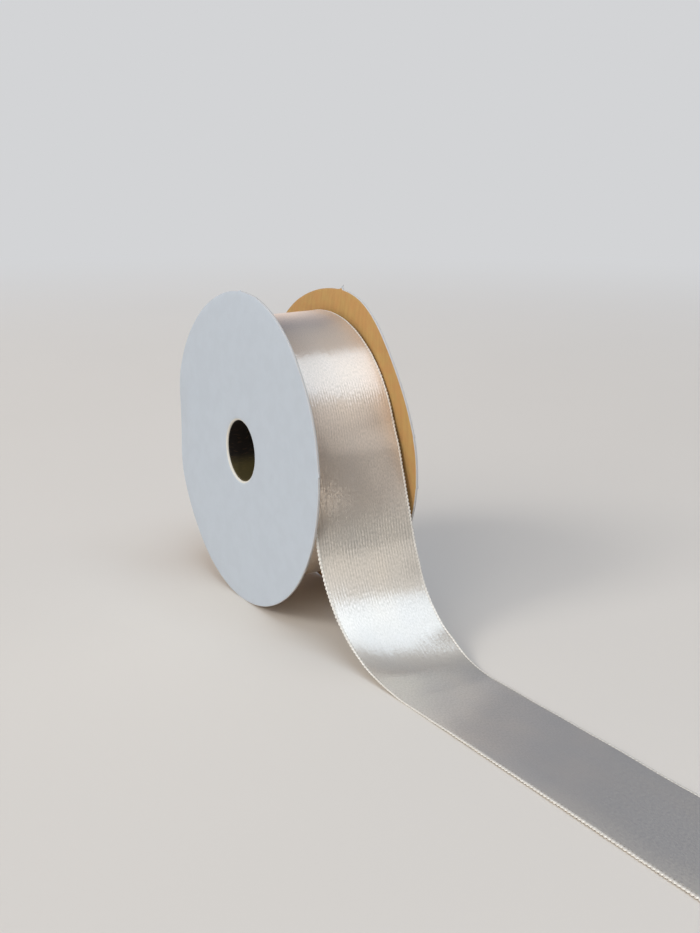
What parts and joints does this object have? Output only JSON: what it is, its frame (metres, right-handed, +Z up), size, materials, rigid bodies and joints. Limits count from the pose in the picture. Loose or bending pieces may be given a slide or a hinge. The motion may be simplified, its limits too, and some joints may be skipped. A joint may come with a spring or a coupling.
{
  "type": "ribbon spool",
  "caption": "Card ribbon spool: two round flanges on a paper core with a through bore, a roll of satin ribbon wound between them and its free end lying on the table.",
  "frame": {"origin": "centre of the bore, on the spool's axis midway between the flanges", "axes": "+Y along the spool's axis from the front flange to the rear flange, +Z up, +X the way the ribbon's free end runs along the table"},
  "size_m": [0.217, 0.0278, 0.0844],
  "materials": {
    "white_ply": "white clay-coated paper, matt with a faint sheen",
    "kraft_board": "tan kraft paperboard, uncoated and fibrous",
    "core_paper": "dark brown wound paper tube",
    "clear_tape": "translucent adhesive tape",
    "satin": "ivory polyester satin with a woven selvedge on both edges"
  },
  "bodies": {
    "free_end": {"ribbon_free_end": "satin"},
    "spool": {"front_flange_face": "white_ply", "front_flange_board": "kraft_board", "rear_flange_face": "white_ply", "rear_flange_board": "kraft_board", "core_tube": "core_paper", "starter_tape": "clear_tape", "ribbon_wound_turns": "satin", "ribbon_last_turn": "satin"}
  },
  "joints": [
    {"name": "unwind", "type": "hinge", "parent": "free_end", "child": "spool", "pos_m": [0, 0, 0], "axis": [0, 1, 0], "continuous": true}
  ]
}
